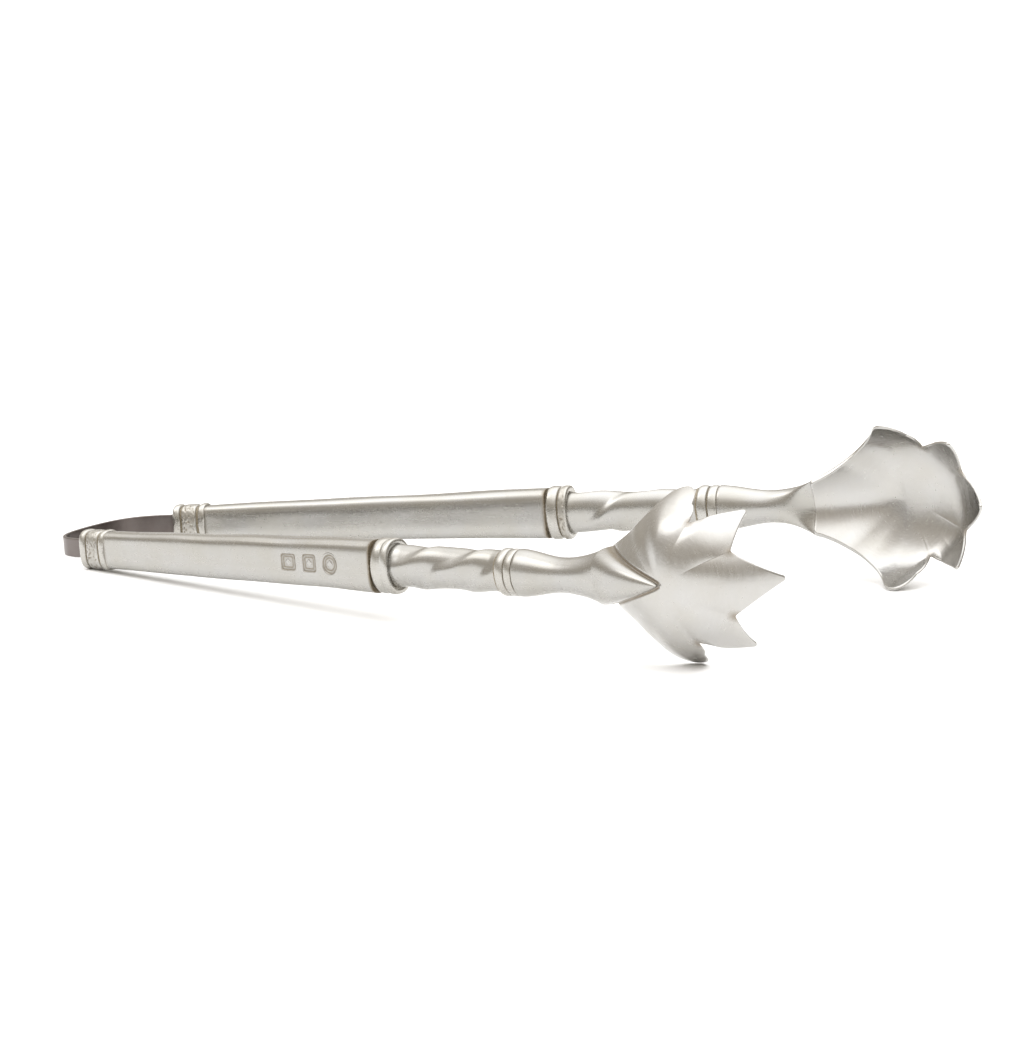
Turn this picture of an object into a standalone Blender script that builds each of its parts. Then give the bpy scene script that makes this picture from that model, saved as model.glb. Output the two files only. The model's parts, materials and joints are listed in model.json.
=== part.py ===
"""Spring ice tongs: two cast pewter arms on one bowed steel strip.

The tongs lie on a table at z = 0, open as the strip leaves them. +X runs from the
bow to the cups along the line that halves the angle between the arms, and +Y goes
towards the far arm. Lengths are in metres.

Each arm is first built in its own frame: x is the distance along its axis from the
back of the end ferrule, y points away from the other arm, and z is square to both.
The near arm is the far arm turned half a turn about the line between them, so both
twisted stems have the same hand.
"""
import math

import bmesh
import bpy
from mathutils import Matrix, Vector

MM = 0.001
GAP = 0.3 * MM

# The two arms
ARM_ANGLE = math.radians(10.4)
ARM_START = 20.5 * MM
SHIFT_X = -109.4 * MM

# Distances along an arm, from the back of its end ferrule
FERRULE_END = 9.7 * MM
HANDLE_BACK = 8.9 * MM
HANDLE_END = 112.5 * MM
COLLAR_END = 118.6 * MM
STEM_BACK = 118.0 * MM
STEM_END = 155.6 * MM
STEM_COLLAR_END = 161.4 * MM
NECK_BACK = 161.7 * MM
WAIST = 176.0 * MM
CUP_ROOT = 188.6 * MM
TANG_TIP = 211.6 * MM
CUP_CENTRE = 212.0 * MM

# Half thickness and half height of each section
FERRULE = (3.1 * MM, 5.0 * MM)
HANDLE_THIN = (3.0 * MM, 4.9 * MM)
HANDLE_WIDE = (4.6 * MM, 6.8 * MM)
STEM_WIDE = (3.9 * MM, 5.8 * MM)
STEM_THIN = (3.8 * MM, 5.5 * MM)
STEM_COLLAR = (4.3 * MM, 5.8 * MM)
HANDLE_WALL = 1.1 * MM
BAND_SWELL = 0.5 * MM
GROOVE = -0.15 * MM
CORNER = 0.82
SECTION_POINTS = 24

# Twisted stem: three soft lobes on a left-handed helix
LOBES = 3
LEAD = 52.0 * MM
LOBE_DEPTH = 0.6 * MM
STEM_RINGS = 20
SPIGOT_RADIUS = 2.2 * MM

# Steel strip and the plugs that hold its ends
STRIP_WIDTH = 5.2 * MM
STRIP_THICKNESS = 1.0 * MM
STRIP_LEG = 20.0 * MM
BOW_DEPTH = 15.5 * MM
CROWN_PULL = 0.82
END_PULL = 0.66
BOW_POINTS = 10
ANCHOR = (1.9 * MM, 3.7 * MM)
ANCHOR_START = 0.5 * MM
ANCHOR_END = 25.0 * MM
PIN_RADIUS = 0.8 * MM
PIN_STATION = 15.0 * MM

# Cup: a shallow bowl with five pointed petals, given by angle and reach
CUP_THICKNESS = 1.5 * MM
CUP_TOP = 5.8 * MM
BOWL_RADIUS = 27.0 * MM
BOWL_SIDE_TUCK = 3.0 * MM
BOWL_BACK_RISE = 12.0 * MM
BOWL_CURVE = 0.013
TIP_CURL = 3.5e-8
SIDE_CURL = 4.0e-8
PETALS = ((0.0, 25.3 * MM), (45.0, 23.5 * MM), (92.0, 22.0 * MM))
NOTCHES = ((24.5, 19.4 * MM), (66.0, 16.6 * MM))
ROOT_HALF_WIDTH = 6.7 * MM
BACK_HOLLOW = 1.5 * MM
BACK_TURN = (140.0, 180.0)
CLAW_TO_BALL = (95.0, 125.0)
EDGE_STEPS = 3
BACK_STEPS = 5
BOWL_RINGS = 8
RING_CROWDING = 1.3

# Neck with its leaf-shaped tang on the back of the cup
NECK_WAIST = (3.8 * MM, 4.4 * MM)
NECK_BACK_SIZE = (4.4 * MM, 6.0 * MM)
NECK_SHOULDER = 0.6 * MM
NECK_FLARE = (4.3 * MM, 7.0 * MM)
TANG_EDGE = 0.7 * MM
TANG_TIP_HEIGHT = 1.1 * MM
TANG_RINGS = 8
NECK_RINGS = 8


# ---------------------------------------------------------------- scene

def clear_scene():
    for item in list(bpy.data.objects):
        bpy.data.objects.remove(item, do_unlink=True)


def new_collection(name):
    group = bpy.data.collections.new(name)
    bpy.context.scene.collection.children.link(group)
    return group


def metal(name, colour, roughness, metallic=1.0):
    """A Principled material with the piece's plain colour."""
    material = bpy.data.materials.new(name)
    material.use_nodes = True
    shader = material.node_tree.nodes["Principled BSDF"]
    shader.inputs["Base Color"].default_value = (*colour, 1.0)
    shader.inputs["Roughness"].default_value = roughness
    shader.inputs["Metallic"].default_value = metallic
    return material


def add_object(name, bm, group, material, matrix):
    """Turn a bmesh into a smooth-shaded object in the group, placed by matrix."""
    closed = all(edge.is_manifold for edge in bm.edges)
    if closed and bm.calc_volume(signed=True) < 0:
        bmesh.ops.reverse_faces(bm, faces=bm.faces)
    mesh = bpy.data.meshes.new(name)
    bm.to_mesh(mesh)
    bm.free()
    mesh.shade_smooth()
    mesh.set_sharp_from_angle(angle=math.radians(40))
    if material:
        mesh.materials.append(material)
    item = bpy.data.objects.new(name, mesh)
    item.matrix_world = matrix
    group.objects.link(item)
    return item


def hide_cutter(item):
    item.hide_render = True
    item.display_type = "WIRE"
    return item


def cut(item, cutter):
    modifier = item.modifiers.new("cut_" + cutter.name, "BOOLEAN")
    modifier.operation = "DIFFERENCE"
    modifier.object = cutter


# ---------------------------------------------------------------- frames

def tongs_frame():
    """The plane of the tongs, tilted so that the ferrules and the side petals rest on z = 0."""
    ferrule_x = FERRULE_END / 6 * math.cos(ARM_ANGLE)
    ferrule_low = FERRULE[1] + BAND_SWELL
    angle, reach = PETALS[-1]
    petal = bowl_point(math.radians(angle), reach)
    petal_x = petal.x * math.cos(ARM_ANGLE) - petal.y * math.sin(ARM_ANGLE)
    tilt = math.atan2(petal.z - ferrule_low, petal_x - ferrule_x)
    lift = ferrule_low * math.cos(tilt) - ferrule_x * math.sin(tilt)
    return Matrix.Translation((SHIFT_X, 0, lift)) @ Matrix.Rotation(-tilt, 4, "Y")


def arm_frame(side):
    """Frame of the far arm (side 1) or the near arm (side -1)."""
    arm = Matrix.Translation((0, ARM_START, 0)) @ Matrix.Rotation(ARM_ANGLE, 4, "Z")
    half_turn = Matrix.Rotation(math.pi if side < 0 else 0.0, 4, "X")
    return tongs_frame() @ half_turn @ arm


# ---------------------------------------------------------------- shapes

def unit_section(half_y, half_z, corner):
    """Points of a rounded rectangle, counter-clockwise, starting where +y turns into its corner."""
    points = []
    per_corner = SECTION_POINTS // 4
    for quarter, (sign_y, sign_z) in enumerate(((1, 1), (-1, 1), (-1, -1), (1, -1))):
        centre_y = sign_y * (half_y - corner)
        centre_z = sign_z * (half_z - corner)
        for step in range(per_corner):
            angle = math.radians(90 * quarter + 90 * step / (per_corner - 1))
            points.append((centre_y + corner * math.cos(angle), centre_z + corner * math.sin(angle)))
    return points


def section(station, size, corner=CORNER, swell=0.0):
    """A ring of points across the arm at a station; size is (half y, half z)."""
    half_y, half_z = size[0] + swell, size[1] + swell
    ring = unit_section(half_y, half_z, corner * min(half_y, half_z))
    return [Vector((station, y, z)) for y, z in ring]


def oval_ring(station, size):
    """An oval ring across the arm, starting at +y."""
    ring = []
    for i in range(SECTION_POINTS):
        angle = 2 * math.pi * i / SECTION_POINTS
        ring.append(Vector((station, size[0] * math.cos(angle), size[1] * math.sin(angle))))
    return ring


def round_ring(station, radius):
    return oval_ring(station, (radius, radius))


def between(low, high, share):
    return tuple(a + (b - a) * share for a, b in zip(low, high))


def loft(rings, closed=False):
    """Skin a list of rings; closed joins the last ring to the first, else ends are capped."""
    bm = bmesh.new()
    loops = [[bm.verts.new(point) for point in ring] for ring in rings]
    pairs = list(zip(loops, loops[1:]))
    if closed:
        pairs.append((loops[-1], loops[0]))
    for near, far in pairs:
        for i in range(len(near)):
            j = (i + 1) % len(near)
            bm.faces.new((near[i], near[j], far[j], far[i]))
    if not closed:
        for loop in (loops[0][::-1], loops[-1]):
            tip = bm.verts.new(sum((vert.co for vert in loop), Vector()) / len(loop))
            for i, vert in enumerate(loop):
                bm.faces.new((vert, loop[(i + 1) % len(loop)], tip))
    return bm


def box(low, high):
    bm = bmesh.new()
    bmesh.ops.create_cube(bm, size=1)
    size = Vector(high) - Vector(low)
    centre = (Vector(high) + Vector(low)) / 2
    bmesh.ops.transform(bm, matrix=Matrix.Translation(centre) @ Matrix.Diagonal((*size, 1)), verts=bm.verts)
    return bm


def cross_pin(radius, length):
    """A cylinder along y at the pin's station."""
    bm = bmesh.new()
    bmesh.ops.create_cone(bm, cap_ends=True, segments=16, radius1=radius, radius2=radius, depth=length)
    place = Matrix.Translation((PIN_STATION, 0, 0)) @ Matrix.Rotation(math.pi / 2, 4, "X")
    bmesh.ops.transform(bm, matrix=place, verts=bm.verts)
    return bm


# ---------------------------------------------------------------- handle pieces

def end_ferrule():
    """Three rounded bands round the handle's end, over the slotted plug."""
    rings = []
    bands = 3
    length = FERRULE_END / bands
    for band in range(bands):
        start = band * length
        for share, swell in ((0.0, GROOVE), (0.2, 0.7 * BAND_SWELL), (0.5, BAND_SWELL), (0.8, 0.7 * BAND_SWELL)):
            rings.append(section(start + share * length, FERRULE, swell=swell))
    rings.append(section(FERRULE_END, FERRULE, swell=0.1 * MM))
    mouth = (HANDLE_THIN[0] + GAP, HANDLE_THIN[1] + GAP)
    bore = (ANCHOR[0] + GAP, ANCHOR[1] + GAP)
    rings.append(section(FERRULE_END, mouth))
    rings.append(section(HANDLE_BACK - GAP, mouth))
    rings.append(section(HANDLE_BACK - GAP, bore))
    rings.append(section(0.0, bore))
    return loft(rings, closed=True)


def handle():
    """Hollow tapered grip, open at the back and closed by a pierced wall at the front."""
    rear_bore = (ANCHOR[0] + GAP, ANCHOR[1] + GAP)
    front_bore = (HANDLE_WIDE[0] - HANDLE_WALL, HANDLE_WIDE[1] - HANDLE_WALL)
    front_wall = HANDLE_END - 2.0 * MM
    return loft([
        section(HANDLE_BACK, HANDLE_THIN),
        section(HANDLE_END, HANDLE_WIDE),
        round_ring(HANDLE_END, SPIGOT_RADIUS + GAP),
        round_ring(front_wall, SPIGOT_RADIUS + GAP),
        section(front_wall, front_bore),
        section(ANCHOR_END + 8 * MM, between(rear_bore, front_bore, 0.3)),
        section(ANCHOR_END, rear_bore),
        section(HANDLE_BACK, rear_bore),
    ], closed=True)


def anchor_blank():
    return loft([section(ANCHOR_START, ANCHOR), section(ANCHOR_END, ANCHOR)])


def beaded_collar(start, end, size, seated=None):
    """A rounded bead, a groove and a lip; seated is the size of a piece sunk into the lip."""
    length = end - start
    profile = ((0.0, GROOVE), (0.1, 0.15 * MM), (0.35, 0.3 * MM), (0.6, 0.15 * MM), (0.7, GROOVE),
               (0.78, 0.35 * MM), (0.93, 0.4 * MM), (1.0, 0.15 * MM))
    rings = [section(start + share * length, size, swell=swell) for share, swell in profile]
    floor = end
    if seated:
        floor = STEM_BACK - GAP
        mouth = (seated[0] + GAP, seated[1] + GAP)
        rings.append(section(end, mouth))
        rings.append(section(floor, mouth))
    rings.append(round_ring(floor, SPIGOT_RADIUS + GAP))
    rings.append(round_ring(start, SPIGOT_RADIUS + GAP))
    return loft(rings, closed=True)


def twisted_ring(station, size):
    """Oval section with three lobes, turned along the helix; each lobe rises to a soft step."""
    ring = []
    for i in range(SECTION_POINTS):
        angle = 2 * math.pi * i / SECTION_POINTS
        phase = (LOBES * (angle / (2 * math.pi) + station / LEAD)) % 1.0
        ramp = 1 - phase / 0.75 if phase < 0.75 else (phase - 0.75) / 0.25
        sink = LOBE_DEPTH * (1 - ramp)
        ring.append(Vector((station, (size[0] - sink) * math.cos(angle), (size[1] - sink) * math.sin(angle))))
    return ring


def twisted_stem():
    """Twisted bar with a round spigot at each end."""
    rings = [round_ring(STEM_BACK - 10 * MM, SPIGOT_RADIUS), round_ring(STEM_BACK, SPIGOT_RADIUS)]
    for i in range(STEM_RINGS):
        share = i / (STEM_RINGS - 1)
        station = STEM_BACK + share * (STEM_END - STEM_BACK)
        rings.append(twisted_ring(station, between(STEM_WIDE, STEM_THIN, share)))
    rings += [round_ring(STEM_END, SPIGOT_RADIUS), round_ring(STEM_END + 9 * MM, SPIGOT_RADIUS)]
    return loft(rings)


# ---------------------------------------------------------------- cup

def smooth_step(low, high, value):
    share = min(max((value - low) / (high - low), 0.0), 1.0)
    return share * share * (3 - 2 * share)


def bowl_drop(angle, reach):
    """How far the bowl's outer face lies below its crown, on the ray at this angle from the cup's front."""
    degrees = abs(math.degrees(angle))
    curl = (TIP_CURL + SIDE_CURL * math.sin(angle) ** 4) / MM ** 5
    claw = BOWL_CURVE / MM * reach ** 2 + curl * reach ** 6
    radius = BOWL_RADIUS - BOWL_SIDE_TUCK * math.sin(angle) ** 2
    radius += BOWL_BACK_RISE * smooth_step(*BACK_TURN, degrees)
    ball = radius - math.sqrt(radius * radius - reach * reach)
    return claw + (ball - claw) * smooth_step(*CLAW_TO_BALL, degrees)


def bowl_point(angle, reach):
    """Point on the bowl's outer face that lies at this reach from its crown in plan."""
    drop = bowl_drop(angle, reach)
    return Vector((CUP_CENTRE + reach * math.cos(angle), CUP_TOP - drop, reach * math.sin(angle)))


def bowl_height(station, z):
    """y of the bowl's outer face at a station and a height."""
    x = station - CUP_CENTRE
    return CUP_TOP - bowl_drop(math.atan2(z, x), math.hypot(x, z))


def cup_outline():
    """Corners of one half of the rim, front to back, as plan points from the crown."""
    corners = []
    for petal, notch in zip(PETALS, (*NOTCHES, None)):
        corners += [petal, notch] if notch else [petal]
    points = [(reach * math.cos(math.radians(angle)), reach * math.sin(math.radians(angle)))
              for angle, reach in corners]
    root = CUP_ROOT - CUP_CENTRE
    return points + [(root, ROOT_HALF_WIDTH), (root, 0.0)]


def rim_points():
    """(angle, reach) all round the rim, straight between corners but for the two hollow back edges."""
    corners = [Vector(point) for point in cup_outline()]
    half = []
    for index, (start, end) in enumerate(zip(corners, corners[1:])):
        is_back = index == len(corners) - 3
        steps = BACK_STEPS if is_back else EDGE_STEPS
        depth = 4 * BACK_HOLLOW if is_back else 0.0
        run = (end - start).normalized()
        inward = Vector((-run.y, run.x))
        for i in range(steps):
            share = i / steps
            spot = start.lerp(end, share) + inward * depth * share * (1 - share)
            half.append((math.atan2(spot.y, spot.x), spot.length))
    back = [(math.pi, corners[-1].length)]
    mirrored = [(-angle, reach) for angle, reach in reversed(half[1:])]
    return half + back + mirrored


def cup():
    """The bowl's outer face as rays from its crown; Solidify gives it its wall."""
    bm = bmesh.new()
    crown = bm.verts.new(bowl_point(0.0, 0.0))
    shares = [1 - (1 - (i + 1) / BOWL_RINGS) ** RING_CROWDING for i in range(BOWL_RINGS)]
    rays = []
    for angle, reach in rim_points():
        rays.append([bm.verts.new(bowl_point(angle, reach * share)) for share in shares])
    for ray, following in zip(rays, rays[1:] + rays[:1]):
        bm.faces.new((crown, following[0], ray[0]))
        for i in range(BOWL_RINGS - 1):
            bm.faces.new((ray[i], following[i], following[i + 1], ray[i + 1]))
    return bm


# ---------------------------------------------------------------- neck

def neck_size(station):
    """Half thickness and half height of the solid neck behind the cup."""
    if station < WAIST:
        share = smooth_step(NECK_BACK, WAIST, station)
        return between(NECK_BACK_SIZE, NECK_WAIST, share)
    share = ((station - WAIST) / (CUP_ROOT - WAIST)) ** 2
    return between(NECK_WAIST, NECK_FLARE, share)


def tang_ring(station):
    """Leaf section that rests on the cup's back and rises to a ridge."""
    share = max((station - CUP_ROOT) / (TANG_TIP - CUP_ROOT), 0.0)
    half_width = NECK_FLARE[1] * (1 - share) ** 0.85 + 0.2 * MM
    seat = bowl_height(station, 0.0) + GAP
    root_height = NECK_FLARE[0] - bowl_height(CUP_ROOT, 0.0) - GAP
    ridge = root_height + (TANG_TIP_HEIGHT - root_height) * share ** 0.8
    ring = []
    for i in range(SECTION_POINTS):
        angle = 2 * math.pi * i / SECTION_POINTS
        z = half_width * math.sin(angle)
        low = bowl_height(station, z) + GAP
        rise = math.cos(angle)
        if rise > 0.01:
            high = seat + TANG_EDGE + (ridge - TANG_EDGE) * rise
            ring.append(Vector((station, max(high, low + 0.5 * TANG_EDGE), z)))
        elif rise < -0.01:
            ring.append(Vector((station, low, z)))
        else:
            ring.append(Vector((station, low + 0.3 * TANG_EDGE, z)))
    return ring


def neck():
    """Neck with a blind socket for the stem's spigot and a leaf tang on the cup."""
    socket = SPIGOT_RADIUS + GAP
    rings = [round_ring(STEM_END + 9 * MM + GAP, socket), round_ring(NECK_BACK, socket)]
    shoulder = tuple(half - 0.7 * NECK_SHOULDER for half in NECK_BACK_SIZE)
    rings.append(oval_ring(NECK_BACK, shoulder))
    solid_start = NECK_BACK + NECK_SHOULDER
    solid_end = CUP_ROOT - GAP - 0.2 * MM
    for i in range(NECK_RINGS):
        station = solid_start + (solid_end - solid_start) * i / (NECK_RINGS - 1)
        rings.append(oval_ring(station, neck_size(station)))
    for i in range(TANG_RINGS):
        share = i / (TANG_RINGS - 1)
        rings.append(tang_ring(CUP_ROOT - GAP + (TANG_TIP - CUP_ROOT + GAP) * share))
    return loft(rings)


# ---------------------------------------------------------------- spring strip

def bow_point(share):
    """Half of the bow in the tongs' plane, from its crown (0) to the ferrule (1)."""
    along = Vector((math.cos(ARM_ANGLE), math.sin(ARM_ANGLE)))
    crown = Vector((-BOW_DEPTH, 0))
    end = Vector((0, ARM_START))
    controls = (crown, crown + Vector((0, CROWN_PULL * ARM_START)), end - END_PULL * BOW_DEPTH * along, end)
    weights = ((1 - share) ** 3, 3 * share * (1 - share) ** 2, 3 * share ** 2 * (1 - share), share ** 3)
    return sum((w * c for w, c in zip(weights, controls)), Vector((0, 0)))


def strip_path():
    """Centre line of the strip, near leg to far leg."""
    along = Vector((math.cos(ARM_ANGLE), math.sin(ARM_ANGLE)))
    half = [bow_point(i / BOW_POINTS) for i in range(BOW_POINTS + 1)]
    half.append(half[-1] + STRIP_LEG * along)
    mirrored = [Vector((point.x, -point.y)) for point in reversed(half[1:])]
    return mirrored + half


def strip_ribbon():
    """The centre line drawn out to the strip's width; Solidify gives it its thickness."""
    bm = bmesh.new()
    low = [bm.verts.new((point.x, point.y, -STRIP_WIDTH / 2)) for point in strip_path()]
    edges = [bm.edges.new(pair) for pair in zip(low, low[1:])]
    raised = bmesh.ops.extrude_edge_only(bm, edges=edges)["geom"]
    verts = [item for item in raised if isinstance(item, bmesh.types.BMVert)]
    bmesh.ops.translate(bm, verts=verts, vec=(0, 0, STRIP_WIDTH))
    return bm


# ---------------------------------------------------------------- assembly

def build_arm(side, prefix, parts, cutters, pewter, patina, steel):
    place = arm_frame(side)
    root = bpy.data.objects.new(prefix + "_arm_frame", None)
    root.matrix_world = place
    parts.objects.link(root)

    def add(name, bm, material):
        item = add_object(prefix + "_" + name, bm, parts, material, place)
        item.parent = root
        item.matrix_parent_inverse = place.inverted()
        return item

    add("end_ferrule", end_ferrule(), patina)
    add("handle", handle(), pewter)
    anchor = add("spring_anchor", anchor_blank(), pewter)
    slot_half = STRIP_THICKNESS / 2 + GAP
    slot = box((-MM, -slot_half, -2 * ANCHOR[1]), (STRIP_LEG + MM, slot_half, 2 * ANCHOR[1]))
    cut(anchor, hide_cutter(add_object(prefix + "_slot_cutter", slot, cutters, None, place)))
    hole = add_object(prefix + "_pin_cutter", cross_pin(PIN_RADIUS + GAP, 12 * MM), cutters, None, place)
    cut(anchor, hide_cutter(hole))
    add("anchor_pin", cross_pin(PIN_RADIUS, 2 * ANCHOR[0]), steel)
    add("handle_collar", beaded_collar(HANDLE_END + GAP, COLLAR_END, HANDLE_WIDE, STEM_WIDE), patina)
    add("twisted_stem", twisted_stem(), pewter)
    add("stem_collar", beaded_collar(STEM_END + GAP, STEM_COLLAR_END, STEM_COLLAR), patina)
    add("neck", neck(), pewter)
    bowl = add("cup", cup(), pewter)
    wall = bowl.modifiers.new("wall", "SOLIDIFY")
    wall.thickness = CUP_THICKNESS
    wall.offset = -1.0
    return hole


def main():
    clear_scene()
    parts = new_collection("ice_tongs")
    cutters = new_collection("cutters")
    pewter = metal("pewter", (0.62, 0.60, 0.57), 0.33)
    patina = metal("patinated_pewter", (0.50, 0.46, 0.40), 0.42)
    steel = metal("spring_steel", (0.30, 0.27, 0.25), 0.38)

    strip = add_object("spring_strip", strip_ribbon(), parts, steel, tongs_frame())
    body = strip.modifiers.new("thickness", "SOLIDIFY")
    body.thickness = STRIP_THICKNESS
    body.offset = 0.0
    for side, prefix in ((-1, "near"), (1, "far")):
        cut(strip, build_arm(side, prefix, parts, cutters, pewter, patina, steel))


main()
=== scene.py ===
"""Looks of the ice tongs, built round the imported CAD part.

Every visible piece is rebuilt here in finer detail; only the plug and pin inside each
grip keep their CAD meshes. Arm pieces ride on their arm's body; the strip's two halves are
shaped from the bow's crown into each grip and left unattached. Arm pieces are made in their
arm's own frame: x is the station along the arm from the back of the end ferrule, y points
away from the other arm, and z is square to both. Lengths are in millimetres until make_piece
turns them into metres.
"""
import json
import math

import bpy
import numpy as np
from mathutils import Matrix, Vector, noise


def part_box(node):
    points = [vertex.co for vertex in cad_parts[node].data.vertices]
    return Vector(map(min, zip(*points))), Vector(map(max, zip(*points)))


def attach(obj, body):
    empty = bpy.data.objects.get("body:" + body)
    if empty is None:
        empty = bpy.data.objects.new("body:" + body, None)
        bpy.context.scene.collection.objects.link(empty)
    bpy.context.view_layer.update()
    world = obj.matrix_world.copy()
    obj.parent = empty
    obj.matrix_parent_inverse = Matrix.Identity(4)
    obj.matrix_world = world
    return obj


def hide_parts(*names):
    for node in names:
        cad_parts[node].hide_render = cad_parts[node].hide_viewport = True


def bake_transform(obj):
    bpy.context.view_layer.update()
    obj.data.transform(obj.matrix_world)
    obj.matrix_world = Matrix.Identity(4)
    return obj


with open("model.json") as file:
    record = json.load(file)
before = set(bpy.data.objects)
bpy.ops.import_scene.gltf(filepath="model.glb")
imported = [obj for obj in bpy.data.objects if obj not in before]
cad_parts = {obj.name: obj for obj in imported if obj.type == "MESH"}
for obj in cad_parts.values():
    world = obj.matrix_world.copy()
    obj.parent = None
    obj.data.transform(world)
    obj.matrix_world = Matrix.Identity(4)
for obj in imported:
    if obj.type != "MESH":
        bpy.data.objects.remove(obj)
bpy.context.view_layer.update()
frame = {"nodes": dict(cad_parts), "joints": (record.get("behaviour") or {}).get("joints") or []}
MM = 0.001

# ------------------------------------------------------------------ sizes of the part, mm
ARM_ANGLE = math.radians(10.4)
ARM_START = 20.5

# Stations along an arm
FERRULE_END = 9.7
HANDLE_BACK = 8.9
HANDLE_END = 112.6
COLLAR_END = 118.6
STEM_BACK = 117.7
STEM_END = 155.7
STEM_COLLAR_END = 161.4
NECK_BACK = 161.3
WAIST = 176.0
CUP_ROOT = 188.6
TANG_TIP = 211.6
CUP_CENTRE = 212.0

# Half sizes of sections, across (y) and high (z)
FERRULE = (3.1, 5.0)
ANCHOR = (1.9, 3.7)
HANDLE_THIN = (3.0, 4.9)
HANDLE_WIDE = (4.6, 6.8)
STEM_WIDE = (3.9, 5.8)
STEM_THIN = (3.8, 5.5)
STEM_COLLAR = (4.3, 5.8)
NECK_BACK_SIZE = (4.5, 6.1)
NECK_WAIST = (3.8, 4.4)
NECK_FLARE = (4.3, 7.0)

STRIP_WIDTH = 5.2
STRIP_THICKNESS = 1.0
STRIP_LEG = 20.0
BOW_DEPTH = 15.5
CROWN_PULL = 0.82
END_PULL = 0.66


# ------------------------------------------------------------------ small maths
RIPPLE_WAVES = 7
RIPPLE_PHASE = 6.28
PIT_DETAIL = 0.5
PIT_DETAIL_SCALE = 2.3
PIT_EDGE = 0.35


def smooth(low, high, value):
    """0 below low, 1 above high, an even turn between them."""
    share = np.clip((np.asarray(value, float) - low) / (high - low), 0.0, 1.0)
    return share * share * (3 - 2 * share)


def window(value, start, full, fading, end):
    """0 outside start and end, 1 between full and fading, with even turns between."""
    return smooth(start, full, value) * (1 - smooth(fading, end, value))


def hump(value, centre, width):
    """1 at the centre, falling off evenly on both sides."""
    return np.exp(-((value - centre) / width) ** 2)


def mix(low, high, share):
    return tuple(a + (b - a) * share for a, b in zip(low, high))


def ripple(x, y, z, seed):
    """Smooth, irregular waviness between about -1 and 1, the same on every run."""
    rng = np.random.default_rng(seed)
    total = 0.0
    for _ in range(RIPPLE_WAVES):
        turn = rng.normal(size=3)
        phase = rng.uniform(0, RIPPLE_PHASE)
        total = total + np.sin(x * turn[0] + y * turn[1] + z * turn[2] + phase)
    return total / (RIPPLE_WAVES / 2)


def pits(points, size, level):
    """0 on the sound surface, up to 1 in a casting pit; points are an (n, 3) array."""
    found = np.empty(len(points))
    for i, point in enumerate(points):
        coarse = noise.noise(Vector(point) / size)
        fine = noise.noise(Vector(point) / size * PIT_DETAIL_SCALE)
        found[i] = coarse + PIT_DETAIL * fine
    return smooth(level, level + PIT_EDGE, found)


# ------------------------------------------------------------------ frames

def tongs_frame():
    """The tongs' plane: its normal is the joints' axis, its origin follows from the strip's box."""
    axis = Vector(frame["joints"][0]["axis"])
    tilt = math.atan2(-axis.x, axis.z)
    low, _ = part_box("spring_strip")
    back = (BOW_DEPTH + STRIP_THICKNESS / 2) * MM
    half = STRIP_WIDTH / 2 * MM
    origin = Vector((low.x + back * math.cos(tilt) + half * math.sin(tilt), 0.0,
                     low.z + back * math.sin(tilt) + half * math.cos(tilt)))
    return Matrix.Translation(origin) @ Matrix.Rotation(-tilt, 4, "Y")


def arm_frame(side):
    """Frame of the far arm (side 1) or the near arm (side -1)."""
    arm = Matrix.Translation((0, ARM_START * MM, 0)) @ Matrix.Rotation(ARM_ANGLE, 4, "Z")
    half_turn = Matrix.Rotation(math.pi if side < 0 else 0.0, 4, "X")
    return tongs_frame() @ half_turn @ arm


# ------------------------------------------------------------------ meshes
GRAIN_STRETCH = (0.06, 1.0, 1.0)
SAMPLED_FACES = 6000
SHARP_ANGLE = math.radians(48)


def grid_faces(rings, around):
    """Quads between consecutive rings of a closed tube."""
    i = np.arange(rings - 1)[:, None] * around
    j = np.arange(around)[None, :]
    k = (j + 1) % around
    quads = np.stack([i + j, i + k, i + around + k, i + around + j], axis=-1)
    return quads.reshape(-1, 4).tolist()


def tube(rings, patina_and_shade, grain=None, loop=False):
    """Skin rings (n, m, 3) into a closed mesh: verts, faces, the per-vertex patina with painted shade, and
    grain.
    """
    n, m = rings.shape[:2]
    if grain is None:
        grain = rings * np.array(GRAIN_STRETCH)
    faces = grid_faces(n, m)
    verts = rings.reshape(-1, 3)
    tones = patina_and_shade.reshape(-1)
    grains = grain.reshape(-1, 3)
    if loop:
        last = (n - 1) * m
        for j in range(m):
            k = (j + 1) % m
            faces.append([last + j, last + k, k, j])
        return verts, faces, tones, grains
    for first, ring in ((0, 0), ((n - 1) * m, n - 1)):
        tip = len(verts)
        verts = np.vstack([verts, rings[ring].mean(0)])
        tones = np.append(tones, patina_and_shade[ring].mean())
        grains = np.vstack([grains, grain[ring].mean(0)])
        for j in range(m):
            k = (j + 1) % m
            faces.append([first + k, first + j, tip] if ring == 0 else [first + j, first + k, tip])
    return verts, faces, tones, grains


def volume_sign(verts, faces):
    """Positive when the faces point out; a sample of them is enough."""
    total = 0.0
    for face in faces[:: max(1, len(faces) // SAMPLED_FACES)]:
        a, b, c = (verts[i] for i in face[:3])
        total += np.dot(a, np.cross(b, c))
    return total


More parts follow.
